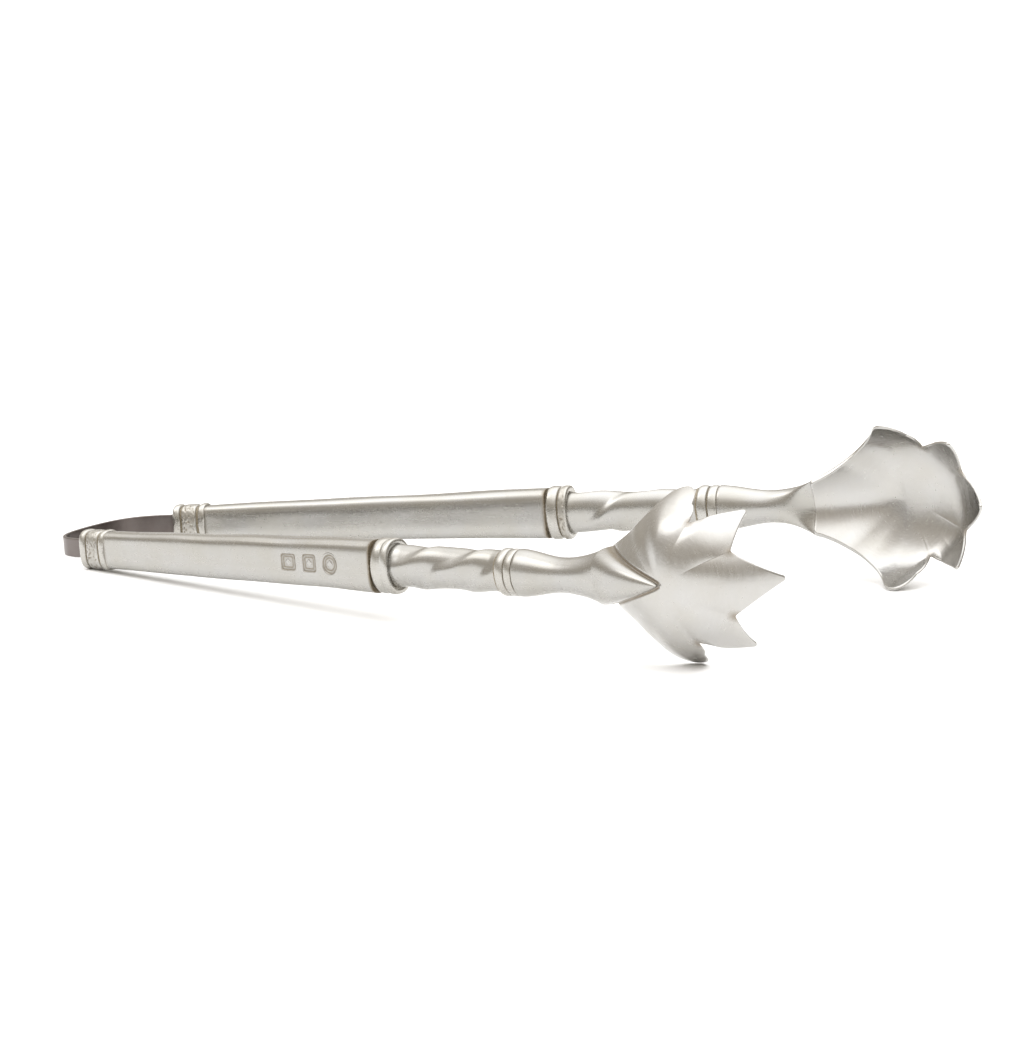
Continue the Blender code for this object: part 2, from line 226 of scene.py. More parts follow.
def make_piece(name, skin, matrix, material, body, nodes):
    """Turn a skin into a smooth object in place, standing for CAD nodes and riding on a body if given."""
    verts, faces, tones, grains = skin
    if volume_sign(verts - verts.mean(0), faces) < 0:
        faces = [face[::-1] for face in faces]
    mesh = bpy.data.meshes.new(name)
    mesh.from_pydata((verts * MM).tolist(), [], faces)
    mesh.transform(matrix)
    lay = mesh.attributes.new("lay", "FLOAT_VECTOR", "POINT")
    lay.data.foreach_set("vector", verts.astype(np.float32).ravel())
    streak = mesh.attributes.new("grain", "FLOAT_VECTOR", "POINT")
    streak.data.foreach_set("vector", grains.astype(np.float32).ravel())
    patina_and_shade = mesh.attributes.new("patina_and_shade", "FLOAT", "POINT")
    patina_and_shade.data.foreach_set("value", np.clip(tones, 0, 1).astype(np.float32))
    mesh.shade_smooth()
    mesh.set_sharp_from_angle(angle=SHARP_ANGLE)
    mesh.materials.append(material)
    item = bpy.data.objects.new(name, mesh)
    bpy.context.scene.collection.objects.link(item)
    if body:
        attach(item, body)
    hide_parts(*nodes)
    return item


# ------------------------------------------------------------------ sections
ROUND = np.linspace(0, 2 * np.pi, 112, endpoint=False)


def rounded_box(half_y, half_z, radius, corner, tall, short):
    """Outline of a rounded rectangle, counter-clockwise from the low end of the +y face."""
    flat_y, flat_z = half_y - radius, half_z - radius
    sides = (((half_y, -flat_z), (half_y, flat_z), tall),
             ((flat_y, half_z), (-flat_y, half_z), short),
             ((-half_y, flat_z), (-half_y, -flat_z), tall),
             ((-flat_y, -half_z), (flat_y, -half_z), short))
    centres = ((flat_y, flat_z), (-flat_y, flat_z), (-flat_y, -flat_z), (flat_y, -flat_z))
    points = []
    for quarter, ((start, end, steps), centre) in enumerate(zip(sides, centres)):
        points += [mix(start, end, i / steps) for i in range(steps)]
        for i in range(corner):
            angle = math.radians(90 * quarter + 90 * i / corner)
            points.append((centre[0] + radius * math.cos(angle), centre[1] + radius * math.sin(angle)))
    return np.array(points)


def crowned_ring(station, half_y, half_z, power, angle=ROUND):
    """A section between an oval (power 2) and a box (high power), so that its sides are crowned."""
    cosine, sine = np.cos(angle), np.sin(angle)
    reach = (np.abs(cosine / half_y) ** power + np.abs(sine / half_z) ** power) ** (-1 / power)
    return np.column_stack([np.full(len(angle), station), reach * cosine, reach * sine])


def crowned_rings(stations, sizes, swells, powers, angle=ROUND):
    """Crowned sections along the arm. sizes gives the half sizes at a station; swells are added to them."""
    rings = []
    for station, swell, power in zip(stations, swells, np.broadcast_to(powers, len(stations))):
        half_y, half_z = sizes(station)
        rings.append(crowned_ring(station, half_y + swell, half_z + swell, power, angle))
    return np.array(rings)


def banded(stations, floor, bands):
    """Heights along a turned piece: rounded bands (start, end, height, fullness) over a groove's floor."""
    swell = np.full_like(stations, floor)
    for start, end, height, fullness in bands:
        middle, half = (start + end) / 2, (end - start) / 2
        share = np.clip(np.abs(stations - middle) / half, 0, 1)
        swell += height * (1 - share ** fullness) ** (1 / fullness)
    return swell


# ------------------------------------------------------------------ casting marks
WORN_SCALE = (0.12, 0.2, 0.2)
WOBBLE_SCALE = (2.0, 0.4)
PIT_MASK_FLOOR = 0.02
PIT_SEED_STEP = 7.7
PIT_TONE = 0.55


def worn(rings, seed, amount):
    """Move the rings' points a little along y and z, as hand finishing leaves a casting."""
    x, y, z = rings[..., 0], rings[..., 1], rings[..., 2]
    height = ripple(WORN_SCALE[0] * x, WORN_SCALE[1] * y, WORN_SCALE[2] * z, seed)
    moved = rings.copy()
    moved[..., 1:] *= (1 + amount * height / np.maximum(np.hypot(y, z), 1.0))[..., None]
    return moved


def wobble_stations(rings, seed, amount):
    """Shift points along the arm so that bands and grooves don't run dead straight."""
    moved = rings.copy()
    angle = np.arctan2(rings[..., 2], rings[..., 1])
    across, along = WOBBLE_SCALE
    moved[..., 0] += amount * ripple(across * np.cos(angle), across * np.sin(angle),
                                     along * rings[..., 0], seed)
    return moved


def pit_rings(rings, patina_and_shade, mask, seed, depth, size=0.55, level=0.12):
    """Sink casting pits into the points that mask selects, and darken them."""
    flat = rings.reshape(-1, 3).copy()
    chosen = np.broadcast_to(mask, rings.shape[:2]).reshape(-1)
    tone = np.array(np.broadcast_to(patina_and_shade, rings.shape[:2]), float).reshape(-1)
    index = np.nonzero(chosen > PIT_MASK_FLOOR)[0]
    hole = pits(flat[index] + seed * PIT_SEED_STEP, size, level) * chosen[index]
    radial = np.hypot(flat[index, 1], flat[index, 2])
    flat[index, 1:] *= (1 - depth * hole / radial)[:, None]
    tone[index] = np.maximum(tone[index], PIT_TONE * hole)
    return flat.reshape(rings.shape), tone.reshape(rings.shape[:2])


# ------------------------------------------------------------------ end ferrule
GROOVE_TONE = 0.75
# Painted shade on the hidden inside of the collars' bores
COLLAR_BORE_SHADE = 0.95
FERRULE_FLOOR = -0.22
FERRULE_BANDS = ((-0.05, 2.05, 0.62, 2.6), (2.6, 6.9, 0.55, 3.4), (7.7, 9.75, 0.72, 2.6))
FERRULE_POWER = 2.9
FERRULE_PITS = 0.18
FERRULE_WOBBLE = 0.13
PITS_EVERYWHERE = 0.12
# Painted shade on the inner rings of the ferrule's mouth round the plug
MOUTH_INSIDE_SHADE = 0.9
MOUTH_POWER = 3.5
MOUTH_GAP = 0.3


def end_ferrule(seed):
    """Three cast bands with dark grooves and a pitted middle, round the slotted plug."""
    stations = np.linspace(0.0, FERRULE_END, 90)
    swell = banded(stations, FERRULE_FLOOR, FERRULE_BANDS)
    rings = crowned_rings(stations, lambda s: FERRULE, swell, FERRULE_POWER)
    tone = GROOVE_TONE * (1 - smooth(-0.14, 0.06, swell)) + 0.15 * window(stations, 2.8, 3.4, 6.2, 6.8)
    mask = window(stations, 2.7, 3.2, 6.3, 6.8) + PITS_EVERYWHERE
    rings, tone = pit_rings(rings, tone[:, None], mask[:, None], seed, FERRULE_PITS)
    rings = wobble_stations(rings, seed, FERRULE_WOBBLE)
    rings[0, :, 0] = 0.0
    inner = [crowned_ring(station, ANCHOR[0] + MOUTH_GAP, ANCHOR[1] + MOUTH_GAP, MOUTH_POWER)
             for station in (FERRULE_END, HANDLE_BACK, 0.05)]
    rings = np.concatenate([rings, inner])
    # The mouth's inner rings carry painted shade
    tone = np.concatenate([tone, np.full((len(inner), tone.shape[1]), MOUTH_INSIDE_SHADE)])
    return tube(rings, tone, loop=True)


# ------------------------------------------------------------------ handle
# Squareness of the grip's section at its back and its front
HANDLE_POWER = (4.6, 4.0)
HANDLE_WEAR = 0.16
BACK_TONE = 0.55
FRONT_TONE = 0.8

# Blank stamped cartouches: station, length, height, squareness of the outline
STAMPS = ((82.3, 5.7, 4.7, 7.0), (90.2, 5.2, 5.0, 7.0), (97.9, 5.6, 5.4, 2.0))
STAMP_HEIGHT = -0.3
STAMP_DEPTH = 0.2
STAMP_LIP = 0.05
STAMP_MARGIN = 4.0
STAMP_TONE = 0.62
FINE_ANGLE = math.radians(48)


def stamp_relief(station, height):
    """How deep a cartouche sinks at each point, and how dark it is there: a frame round a blank pad."""
    depth = np.zeros_like(station)
    dark = np.zeros_like(station)
    for centre, length, tall, power in STAMPS:
        u = np.abs(station - centre) / (length / 2)
        v = np.abs(height - STAMP_HEIGHT) / (tall / 2)
        edge = (u ** power + v ** power) ** (1 / power)
        field = 1 - smooth(0.9, 1.0, edge)
        pad = 1 - smooth(0.34, 0.5, u + v)
        frame_line = 1 - smooth(0.0, 0.09, np.abs(edge - 0.74))
        depth = np.maximum(depth, STAMP_DEPTH * field * (1 - 0.85 * np.maximum(pad, frame_line)))
        depth = depth - STAMP_LIP * hump(edge, 1.06, 0.05)
        lines = hump(edge, 0.9, 0.09) + 0.8 * hump(edge, 0.6, 0.08)
        dark = np.maximum(dark, field * np.clip(0.25 + lines, 0, 1) * (1 - 0.9 * pad))
    return depth, dark


def handle(seed, stamped):
    """Tapered grip; the near one carries the cartouches on a finer mesh."""
    stations = np.linspace(HANDLE_BACK, HANDLE_END, 170)
    angle = ROUND
    if stamped:
        first, last = STAMPS[0][0] - STAMP_MARGIN, STAMPS[-1][0] + STAMP_MARGIN
        stations = np.concatenate([np.linspace(HANDLE_BACK, first, 90, endpoint=False),
                                   np.linspace(first, last, 230, endpoint=False),
                                   np.linspace(last, HANDLE_END, 30)])
        angle = np.concatenate([np.linspace(-FINE_ANGLE, FINE_ANGLE, 110, endpoint=False),
                                np.linspace(FINE_ANGLE, 2 * np.pi - FINE_ANGLE, 84, endpoint=False)])
    along = (stations - HANDLE_BACK) / (HANDLE_END - HANDLE_BACK)
    powers = HANDLE_POWER[0] + (HANDLE_POWER[1] - HANDLE_POWER[0]) * along

    def size(station):
        return mix(HANDLE_THIN, HANDLE_WIDE, (station - HANDLE_BACK) / (HANDLE_END - HANDLE_BACK))

    rings = crowned_rings(stations, size, np.zeros(len(stations)), powers, angle)
    tone = np.zeros(rings.shape[:2])
    if stamped:
        depth, dark = stamp_relief(rings[..., 0], rings[..., 2])
        outside = rings[..., 1] > 0
        rings[..., 1] -= np.where(outside, depth, 0)
        tone = np.where(outside, STAMP_TONE * dark, 0)
    rings = worn(rings, seed, HANDLE_WEAR)
    back = 1 - smooth(HANDLE_BACK, HANDLE_BACK + 2.2, rings[..., 0])
    front = smooth(HANDLE_END - 1.0, HANDLE_END, rings[..., 0])
    tone = np.maximum(tone, np.maximum(BACK_TONE * back, FRONT_TONE * front))
    return tube(rings, tone)


# ------------------------------------------------------------------ collars
HANDLE_COLLAR_BANDS = ((112.95, 116.15, 0.68, 2.4), (116.5, 118.75, 0.72, 3.0))
STEM_COLLAR_BANDS = ((156.0, 158.7, 0.62, 2.4), (159.0, 161.5, 0.55, 2.6))
HANDLE_COLLAR_POWER = 2.3
STEM_COLLAR_POWER = 2.0
COLLAR_FLOOR = -0.25
COLLAR_WOBBLE = 0.16
COLLAR_WEAR = 0.1
BORE_SHARE = 0.35

# The lip's front round the stem: how far each step draws in, how far ahead it lies, and its painted shade,
# darkest deep in the recess by the stem
LIP_FRONT = ((0.02, 0.12, 0.0), (0.06, 0.2, 0.0), (0.12, 0.22, 0.0), (0.18, 0.12, 0.0),
             (0.215, 0.0, 0.25), (0.25, -0.3, 0.8))
# Where the groove between bead and lip is cast shut on the arm's outer side, and how full
JOIN = (115.2, 116.0, 116.8, 117.4)
JOIN_SWELL = 0.34
LIP_PITTED = (116.6, 116.9, 118.2, 118.4)


def join_and_pit(rings, tone, stations, swell, seed):
    """Close the groove on the outer side, where bead and lip are cast in one, and pit the lip."""
    outer = smooth(-0.1, 0.5, np.cos(ROUND))[None, :]
    share = outer * window(stations, *JOIN)[:, None]
    grow = share * (np.maximum(swell, JOIN_SWELL) - swell)[:, None]
    rings[..., 1:] *= (1 + grow / np.hypot(rings[..., 1], rings[..., 2]))[..., None]
    mask = window(stations, *LIP_PITTED)[:, None] * (1 - 0.85 * outer)
    tone = np.maximum(tone * (1 - share), 0.2 * mask)
    return pit_rings(rings, tone, mask, seed, 0.25, 0.6, 0.2)


def collar(start, end, bands, size, power, seed, holds_stem=False):
    """A bead and a lip with dark grooves; the handle's collar also closes in on the stem."""
    stations = np.linspace(start, end, 80)
    swell = banded(stations, COLLAR_FLOOR, bands)
    rings = crowned_rings(stations, lambda s: size, swell, power)
    tone = GROOVE_TONE * (1 - smooth(-0.16, 0.04, swell))[:, None] * np.ones(rings.shape[1])
    if holds_stem:
        rings, tone = join_and_pit(rings, tone, stations, swell, seed)
    rings = wobble_stations(rings, seed, COLLAR_WOBBLE)
    rings = worn(rings, seed + 3, COLLAR_WEAR)
    inside, inside_tones = [], []
    # Steps of the lip's front turn in towards the stem, with painted shade deepening into the recess
    for draw_in, ahead, shade in LIP_FRONT if holds_stem else ():
        step = rings[-1].copy()
        step[:, 1:] *= 1 - draw_in
        step[:, 0] += ahead
        inside.append(step)
        inside_tones.append(shade)
    for outer_ring, station in ((rings[-1], STEM_BACK if holds_stem else end), (rings[0], start)):
        bore = outer_ring.copy()
        bore[:, 1:] *= BORE_SHARE
        bore[:, 0] = station
        inside.append(bore)
        # Painted shade inside the bore
        inside_tones.append(COLLAR_BORE_SHADE)
    rings = np.concatenate([rings, inside])
    extra = np.array(inside_tones)[:, None] * np.ones(tone.shape[1])
    return tube(rings, np.concatenate([tone, extra]), loop=True)


# ------------------------------------------------------------------ twisted stem
LOBES = 3
LEAD = 52.0
LOBE_DEPTH = 0.52
# How far the twist hurries and lingers, which makes the ridges' feet step like a stair
STAIR = 0.6
RIDGE_SHARE = 0.7
END_DEPTH = 0.35
STEM_TONE = 0.85
STEM_WEAR = 0.12
STEM_AROUND = 144
STEM_OVERLAP = 0.6


def twisted_stem(seed):
    """Cast twist: each of three ridges rises slowly round the bar and falls off in a soft step."""
    angle = np.linspace(0, 2 * np.pi, STEM_AROUND, endpoint=False)
    rings, tone = [], []
    for station in np.linspace(STEM_BACK - STEM_OVERLAP, STEM_END + STEM_OVERLAP, 190):
        share = (station - STEM_BACK) / (STEM_END - STEM_BACK)
        half_y, half_z = mix(STEM_WIDE, STEM_THIN, share)
        travel = LOBES * station / LEAD
        stair = travel - STAIR * math.sin(2 * math.pi * travel) / (2 * math.pi)
        phase = (LOBES * angle / (2 * np.pi) + stair) % 1.0
        ramp = np.where(phase < RIDGE_SHARE, 1 - smooth(0.0, RIDGE_SHARE, phase),
                        smooth(RIDGE_SHARE, 1.0, phase))
        full = window(station, STEM_BACK, STEM_BACK + 4, STEM_END - 3, STEM_END)
        sink = LOBE_DEPTH * (1 - ramp) * (END_DEPTH + (1 - END_DEPTH) * full)
        rings.append(np.column_stack([np.full(STEM_AROUND, station), (half_y - sink) * np.cos(angle),
                                      (half_z - sink) * np.sin(angle)]))
        open_part = window(station, STEM_BACK, STEM_BACK + 1.2, STEM_END - 0.6, STEM_END)
        tone.append(np.full(STEM_AROUND, STEM_TONE * (1 - open_part)))
    return tube(worn(np.array(rings), seed, STEM_WEAR), np.array(tone))


# ------------------------------------------------------------------ the bowl's surface
CUP_THICKNESS = 1.5
CUP_TOP = 5.8
BOWL_RADIUS = 27.0
BOWL_SIDE_TUCK = 3.0
BOWL_BACK_RISE = 12.0
BOWL_CURVE = 0.013
TIP_CURL = 3.5e-8
SIDE_CURL = 4.0e-8

# Angles from the front, in degrees, between which the claw's curve turns into the ball's,
# and between which the ball flattens towards the root
CLAW_TO_BALL = (95.0, 125.0)
BACK_TURN = (140.0, 180.0)

# A crease runs from each notch towards the crown: the notch's angle, and the reach where
# its patina is darkest
NOTCHES = ((24.5, 19.2), (66.0, 16.4))
CREASE_DEPTH = 0.45
CREASE_WIDTH = 1.8
CREASE_REACH = (6.0, 16.0)

# The petals' sides fall away from their axes: axis and half width in degrees
PETAL_AXES = ((0.0, 24.5), (45.0, 20.0))
PETAL_FALL = 0.6
PETAL_REACH = (15.0, 22.0)

# The outer petals fold inwards along a line from the notch towards the tip
FOLD_START = (6.9, 14.6)
FOLD_NORMAL = (0.594, 0.804)
FOLD_SOFTNESS = 0.45
FOLD_SLOPE = 1.15
FOLD_ANGLES = (55.0, 68.0, 104.0, 122.0)

# Groove cut round the tang
GROOVE_ASIDE = 0.3
GROOVE_WIDTH = 0.4
GROOVE_DEPTH = 0.22


def bowl_drop(x, z):
    """How far the bowl's outer face lies below its crown at plan point (x, z) from the crown."""
    reach = np.hypot(x, z)
    angle = np.degrees(np.arctan2(np.abs(z), x))
    sine = np.sin(np.radians(angle))
    back = smooth(*BACK_TURN, angle)
    radius = BOWL_RADIUS - BOWL_SIDE_TUCK * sine ** 2 + BOWL_BACK_RISE * back
    ball = radius - np.sqrt(np.maximum(radius ** 2 - reach ** 2, 1.0))
    claw = BOWL_CURVE * reach ** 2 + (TIP_CURL + SIDE_CURL * sine ** 4) * reach ** 6
    share = smooth(*CLAW_TO_BALL, angle)
    return claw * (1 - share) + ball * share


def tang_half_width(station):
    share = np.clip((station - CUP_ROOT) / (TANG_TIP - CUP_ROOT), 0, 1)
    return NECK_FLARE[1] * (1 - share) ** 0.85 + 0.2


def creases(x, z):
    """How far creases, petal sides and folds sink the bowl's outer face."""
    reach = np.hypot(x, z)
    angle = np.degrees(np.arctan2(np.abs(z), x))
    sunk = np.zeros_like(reach)
    for notch, _ in NOTCHES:
        aside = np.radians(np.abs(angle - notch)) * reach
        sunk += CREASE_DEPTH * np.exp(-aside / CREASE_WIDTH) * smooth(*CREASE_REACH, reach)
    for axis, half_width in PETAL_AXES:
        share = np.clip(np.abs(angle - axis) / half_width, 0, 1)
        sunk += PETAL_FALL * share ** 2 * (1 - share ** 8) * smooth(*PETAL_REACH, reach)
    across = (x - FOLD_START[0]) * FOLD_NORMAL[0] + (np.abs(z) - FOLD_START[1]) * FOLD_NORMAL[1]
    fold = 0.5 * (across + np.sqrt(across ** 2 + FOLD_SOFTNESS ** 2))
    return sunk + FOLD_SLOPE * fold * window(angle, *FOLD_ANGLES)


def tang_groove(x, z):
    """1 on the line of the groove that is cut round the tang."""
    station = x + CUP_CENTRE
    from_tang = np.abs(z) - tang_half_width(station)
    along = window(station, CUP_ROOT - 1, CUP_ROOT + 1, TANG_TIP, TANG_TIP + 0.8)
    return hump(from_tang, GROOVE_ASIDE, GROOVE_WIDTH) * along


def bowl_y(x, z):
    return CUP_TOP - bowl_drop(x, z) - creases(x, z) - GROOVE_DEPTH * tang_groove(x, z)


def inner_y(x, z):
    """The face that the cup's inside is offset from: softer creases and no groove."""
    return CUP_TOP - bowl_drop(x, z) - 0.6 * creases(x, z)


def normal_of(height, x, z):
    """Unit normals of the surface y = height(x, z)."""
    step = 0.05
    slope_x = (height(x + step, z) - height(x - step, z)) / (2 * step)
    slope_z = (height(x, z + step) - height(x, z - step)) / (2 * step)
    normal = np.stack([-slope_x, np.ones_like(slope_x), -slope_z], axis=-1)
    return normal / np.linalg.norm(normal, axis=-1, keepdims=True)


# ------------------------------------------------------------------ cup
# One half of the rim in plan, front to back: angle, reach, rounding, bulge of the edge that follows
RIM_CORNERS = ((0.0, 25.7, 0.8, 0.3), (24.5, 19.2, 0.7, 0.3), (45.0, 24.0, 0.8, 0.4),
               (66.0, 16.2, 0.7, 1.1), (83.5, 21.0, 2.3, 0.5), (96.0, 22.7, 2.4, -1.3))
ROOT_CORNER = (-23.9, 7.0, 0.6, 0.0)
CORNER_STEPS = 10
EDGE_STEP = 0.45
FULL_BULGE_RUN = 8

# Share of the wall that is worn away at the rim, and the angles from the front over which
# that fades out
RIM_TAPER = 0.4
TAPER_FADES = (115.0, 160.0)
RIM_BULGE = 0.45
CUP_RINGS = 56
RING_CROWDING = 1.35
CUP_RIPPLE = 0.08
CUP_RIPPLE_SCALE = 0.25
BRUSH_TURN = 2.5


def corner_points():
    """All corners of the rim in plan: x, z, rounding, and bulge of the edge that follows."""
    half = []
    for angle, reach, rounding, bulge in RIM_CORNERS:
        turn = math.radians(angle)
        half.append((reach * math.cos(turn), reach * math.sin(turn), rounding, bulge))
    half.append(ROOT_CORNER)
    mirrored = []
    for i in range(len(half) - 1, 0, -1):
        x, z, rounding, _ = half[i]
        mirrored.append((x, -z, rounding, half[i - 1][3]))
    return half + mirrored


def rim_outline():
    """Closed outline of the cup in plan, with rounded tips and notches and slightly curved edges."""
    corners = corner_points()
    count = len(corners)
    outline = []
    for i in range(count):
        x, z, rounding, bulge = corners[i]
        here = np.array([x, z])
        after = np.array(corners[(i + 1) % count][:2])
        before = np.array(corners[i - 1][:2])
        trim_next = corners[(i + 1) % count][2]
        into = (before - here) / np.linalg.norm(before - here)
        out = (after - here) / np.linalg.norm(after - here)
        for t in np.linspace(0, 1, CORNER_STEPS, endpoint=False):
            outline.append((1 - t) ** 2 * (here + rounding * into) + 2 * t * (1 - t) * here
                           + t ** 2 * (here + rounding * out))
        start, end = here + rounding * out, after - trim_next * out
        run = np.linalg.norm(end - start)
        outward = np.array([out[1], -out[0]])
        if np.dot(outward, (start + end) / 2) < 0:
            outward = -outward
        height = 4 * bulge * min(1.0, run / FULL_BULGE_RUN)
        for t in np.linspace(0, 1, max(3, int(run / EDGE_STEP)), endpoint=False):
            outline.append(start + (end - start) * t + outward * height * t * (1 - t))
    return np.array(outline)


def rim_direction(rim):
    """At each rim point, the crown's distance and the direction square to the rim, away from the cup."""
    x, z = rim[:, 0], rim[:, 1]
    rim3 = np.column_stack([x, bowl_y(x, z), z])
    tangent = np.roll(rim3, -1, axis=0) - np.roll(rim3, 1, axis=0)
    edge = np.cross(tangent, normal_of(bowl_y, x, z))
    edge /= np.linalg.norm(edge, axis=1, keepdims=True)
    from_crown = rim3 - np.array([0, CUP_TOP, 0])
    edge *= np.sign((edge * from_crown).sum(1))[:, None]
    return np.linalg.norm(from_crown, axis=1), edge


def cup_tone(rings, outer_count):
    """Patina in the tang's groove, on the outer face, and in the notches."""
    x, z = rings[..., 0] - CUP_CENTRE, rings[..., 2]
    outside = np.arange(len(rings))[:, None] < outer_count
    tone = 0.75 * tang_groove(x, z) * outside
    reach = np.hypot(x, z)
    degrees = np.degrees(np.arctan2(np.abs(z), x))
    for notch, notch_reach in NOTCHES:
        spot = np.hypot(np.radians(degrees - notch) * reach, reach - notch_reach)
        tone = np.maximum(tone, 0.6 * hump(spot, 0.0, 1.3))
    return tone


def cup(seed):
    """Bowl with five curled petals: outer face, rounded rim and brushed inner face."""
    rim = rim_outline()
    distance, edge = rim_direction(rim)
    inset = RIM_BULGE / np.maximum(distance, 1)
    taper = RIM_TAPER * (1 - smooth(*TAPER_FADES, np.degrees(np.arctan2(np.abs(rim[:, 1]), rim[:, 0]))))
    outer, inner = [], []
    for share in 1 - (1 - np.linspace(0, 1, CUP_RINGS)[1:]) ** RING_CROWDING:
        wall = (CUP_THICKNESS * (1 - taper * share ** 4))[:, None]
        plan = rim * (share * (1 - inset))[:, None]
        x, z = plan[:, 0], plan[:, 1]
        outer.append(np.column_stack([x, bowl_y(x, z), z]))
        inner.append(np.column_stack([x, inner_y(x, z), z]) - wall * normal_of(inner_y, x, z))
    middle = (outer[-1] + inner[-1]) / 2
    half = (outer[-1] - inner[-1]) / 2
    lip = []
    for turn in np.linspace(0, np.pi, 9)[1:-1]:
        across = np.sign(np.cos(turn)) * abs(np.cos(turn)) ** 0.6
        lip.append(middle + half * across + edge * RIM_BULGE * np.sin(turn) ** 0.6)
    rings = np.array(outer + lip + inner[::-1])
    rings[..., 0] += CUP_CENTRE
    tone = cup_tone(rings, len(outer))
    x, z = rings[..., 0] - CUP_CENTRE, rings[..., 2]
    turn = np.arctan2(z, x)
    grain = np.stack([np.hypot(x, z), BRUSH_TURN * np.cos(turn), BRUSH_TURN * np.sin(turn)], axis=-1)
    rings[..., 1] += CUP_RIPPLE * ripple(CUP_RIPPLE_SCALE * x, 0.0 * x, CUP_RIPPLE_SCALE * z, seed)
    return tube(rings, tone, grain)


# ------------------------------------------------------------------ neck
TANG_EDGE = 0.7
TANG_TIP_HEIGHT = 1.1
TANG_SEAT = 0.2
NECK_COVER = 0.2
NECK_COVER_SLOPE = 0.07
NECK_SHOULDER = 0.35
NECK_AROUND = 144
NECK_WEAR = 0.1
FINE_FROM = 8.0


def neck_half(station):
    """Half sizes of the neck: narrowing to the waist, then flaring to the cup's root."""
    if station < WAIST:
        return mix(NECK_BACK_SIZE, NECK_WAIST, float(smooth(NECK_BACK, WAIST, station)))
    return mix(NECK_WAIST, NECK_FLARE, min((station - WAIST) / (CUP_ROOT - WAIST), 1.0) ** 2)


def neck_ring(station, angle):
    """Section of the neck, or of the tang that lies on the bowl beyond the cup's root."""
    cosine, sine = np.cos(angle), np.sin(angle)
    shoulder = NECK_SHOULDER * (1 - float(smooth(NECK_BACK, NECK_BACK + 0.8, station)))
    half_y, half_z = (half - shoulder for half in neck_half(station))
    if station > CUP_ROOT:
        half_z = float(tang_half_width(station))
    z = half_z * sine
    floor = bowl_y(max(station, CUP_ROOT) - CUP_CENTRE, z)
    on_bowl = float(smooth(CUP_ROOT - 9.0, CUP_ROOT + 1.0, station))
    side = (floor - TANG_SEAT) * on_bowl
    share = min(max((station - CUP_ROOT) / (TANG_TIP - CUP_ROOT), 0.0), 1.0)
    ridge = half_y
    if station >= CUP_ROOT:
        root = NECK_FLARE[0] - float(bowl_y(CUP_ROOT - CUP_CENTRE, np.zeros(1))[0])
        crest = root + (TANG_TIP_HEIGHT - root) * share ** 0.8
        ridge = float(bowl_y(station - CUP_CENTRE, np.zeros(1))[0]) + crest
    rise = np.maximum(cosine, 0)
    edge = TANG_EDGE * np.minimum(rise / 0.16, 1) ** 0.7 * (1 - 0.5 * share) * on_bowl
    top = side + edge + (ridge - side - edge) * rise ** (1 - 0.42 * on_bowl)
    fall = np.maximum(-cosine, 0)
    low = side * (1 - fall) - half_y * fall
    inner = floor - CUP_THICKNESS - NECK_COVER + NECK_COVER_SLOPE * max(station - CUP_ROOT, 0)
    under = side + (inner - side) * fall ** 0.4
    low = low + (under - low) * float(smooth(CUP_ROOT - 16, CUP_ROOT + 0.5, station))
    return np.column_stack([np.full(len(angle), station), np.where(cosine > 0, top, low), z])


def neck(seed):
    """Waisted neck that flares into a raised leaf-shaped tang on the cup's back."""
    stations = np.concatenate([np.linspace(NECK_BACK, CUP_ROOT - FINE_FROM, 60),
                               np.linspace(CUP_ROOT - FINE_FROM + 0.2, TANG_TIP, 120)])
    angle = np.linspace(0, 2 * np.pi, NECK_AROUND, endpoint=False)
    rings = np.array([neck_ring(station, angle) for station in stations])
    outline = hump(np.abs(np.cos(angle)), 0.05, 0.10)[None, :]
    on_bowl = window(stations, CUP_ROOT - 0.8, CUP_ROOT + 0.8, TANG_TIP - 1.0, TANG_TIP)[:, None]
    seam = (1 - smooth(NECK_BACK, NECK_BACK + 0.7, stations))[:, None]
    tone = np.maximum(0.75 * outline * on_bowl, 0.8 * seam)
    return tube(worn(rings, seed, NECK_WEAR), tone)


# ------------------------------------------------------------------ spring strip
BOW_STEPS = 70
STRIP_ROUNDING = 0.3
STRIP_GRAIN = 0.05
# Painted shade on the strip where it runs into the grip's mouth, over the last MOUTH_SHADE mm before it
STRIP_ENTRY_SHADE = 0.6
MOUTH_SHADE = 3.0


def bow_point(share):
    """Point on half of the bow, from its crown (0) to the ferrule (1), in the tongs' plane."""
    along = np.array([math.cos(ARM_ANGLE), math.sin(ARM_ANGLE)])
    crown = np.array([-BOW_DEPTH, 0.0])
    end = np.array([0.0, ARM_START])
    controls = (crown, crown + np.array([0, CROWN_PULL * ARM_START]), end - END_PULL * BOW_DEPTH * along, end)
    weights = ((1 - share) ** 3, 3 * share * (1 - share) ** 2, 3 * share ** 2 * (1 - share), share ** 3)
    return sum(w * c for w, c in zip(weights, controls))


